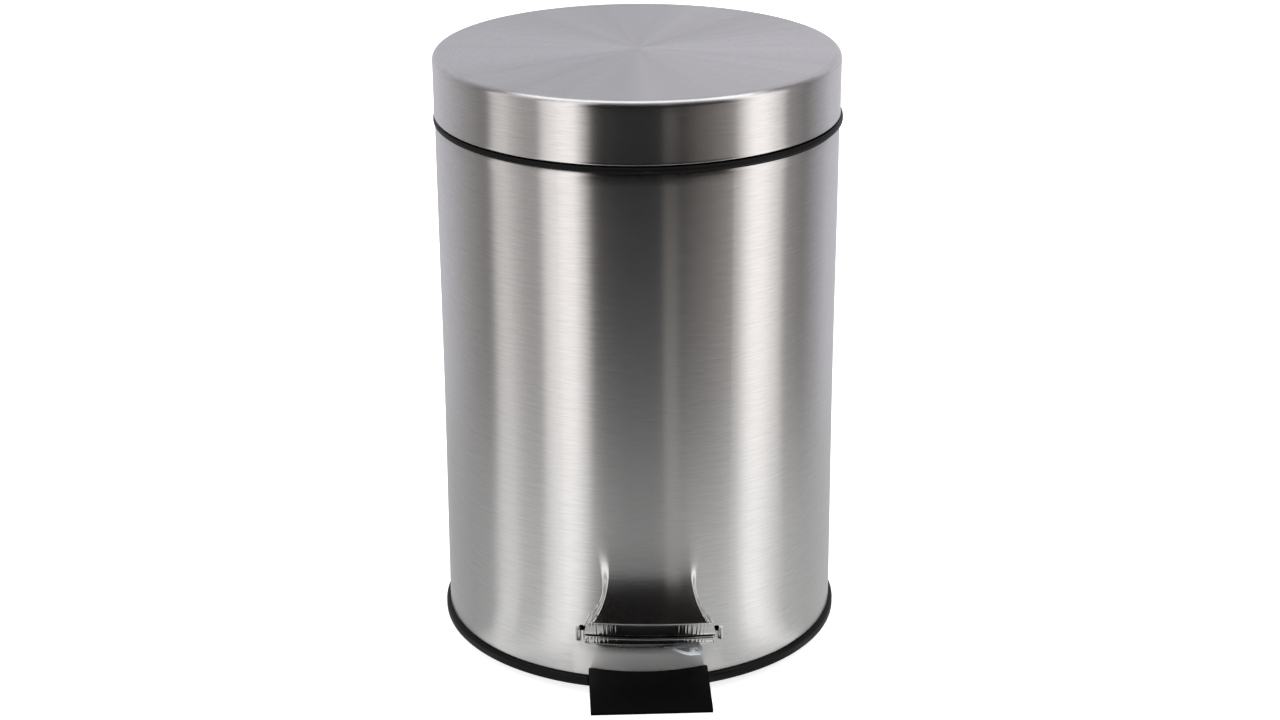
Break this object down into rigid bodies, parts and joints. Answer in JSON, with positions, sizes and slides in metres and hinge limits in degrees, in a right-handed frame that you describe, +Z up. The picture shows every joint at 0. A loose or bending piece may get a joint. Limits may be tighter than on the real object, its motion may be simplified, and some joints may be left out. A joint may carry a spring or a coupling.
{
  "type": "pedal bin",
  "caption": "Small round pedal bin: brushed steel body and lid, black base, rim and pedal, lift-out bucket; pressing the pedal lifts the rear-hinged lid through a lever and push rod.",
  "frame": {"origin": "on the floor, at the centre of the bin's bounding box; the can's own axis stands 11.4 mm behind it, at +Y", "axes": "+Z up along the can, -Y towards the pedal, +Y towards the lid hinge, +X to the right seen from the pedal"},
  "size_m": [0.1716, 0.2132, 0.2552],
  "materials": {
    "steel": "stainless sheet, fine brushing running round the can",
    "black_plastic": "black moulded polypropylene, satin",
    "pedal_plastic": "black moulded plastic, fine matte texture",
    "bucket_plastic": "dark moulded polypropylene",
    "zinc": "zinc-plated pressed steel, bluish white",
    "wire_steel": "bright plated steel wire and pins",
    "rubber": "black rubber"
  },
  "bodies": {
    "bin": {"body_shell": "steel", "base_tray": "black_plastic", "top_collar": "black_plastic", "hinge_bracket": "black_plastic", "rod_guide_lower": "black_plastic", "rod_guide_upper": "black_plastic", "pivot_bracket": "zinc", "pivot_pin": "wire_steel", "pivot_pin_clip": "zinc", "bracket_rivet_left": "zinc", "bracket_rivet_right": "zinc", "body_clip": "zinc", "clip_rivet": "zinc", "bracket_screw_left": "zinc", "bracket_screw_right": "zinc", "hinge_pin": "wire_steel", "hinge_pin_clip": "zinc", "foot_front_right": "rubber", "foot_rear_right": "rubber", "foot_rear_left": "rubber", "foot_front_left": "rubber"},
    "lid": {"lid_shell": "steel", "lid_liner": "black_plastic", "lid_arm": "zinc", "arm_screw_front": "zinc", "arm_screw_rear": "zinc", "lid_bumper_front": "rubber", "lid_bumper_right": "rubber", "lid_bumper_left": "rubber"},
    "pedal": {"pedal_lever": "zinc", "pedal_pad": "pedal_plastic", "pad_rivet_left": "zinc", "pad_rivet_right": "zinc"},
    "rod": {"push_rod": "wire_steel", "rod_clip_top": "zinc", "rod_clip_low": "zinc"},
    "bucket": {"inner_bucket": "bucket_plastic"},
    "bail": {"bucket_bail": "wire_steel"}
  },
  "joints": [
    {"name": "lid_open", "type": "hinge", "parent": "bin", "child": "lid", "pos_m": [0, 0.1016, 0.236], "axis": [-1, 0, 0], "range_deg": [0, 76]},
    {"name": "pedal_press", "type": "hinge", "parent": "bin", "child": "pedal", "pos_m": [0, -0.0486, 0.0135], "axis": [1, 0, 0], "range_deg": [0, 8.7]},
    {"name": "rod_swivel", "type": "hinge", "parent": "pedal", "child": "rod", "pos_m": [0, 0.0889, 0.0122], "axis": [-1, 0, 0], "range_deg": [0, 8.7]},
    {"name": "bucket_lift", "type": "slide", "parent": "bin", "child": "bucket", "axis": [0, 0, 1], "range_m": [0, 0.008]},
    {"name": "bail_swing", "type": "hinge", "parent": "bucket", "child": "bail", "pos_m": [0, 0.0114, 0.2306], "axis": [-1, 0, 0], "range_deg": [0, 12]}
  ],
  "couplings": [
    {"joint": "pedal_press", "follows": "lid_open", "ratio": 0.1144},
    {"joint": "rod_swivel", "follows": "lid_open", "ratio": 0.1144}
  ]
}
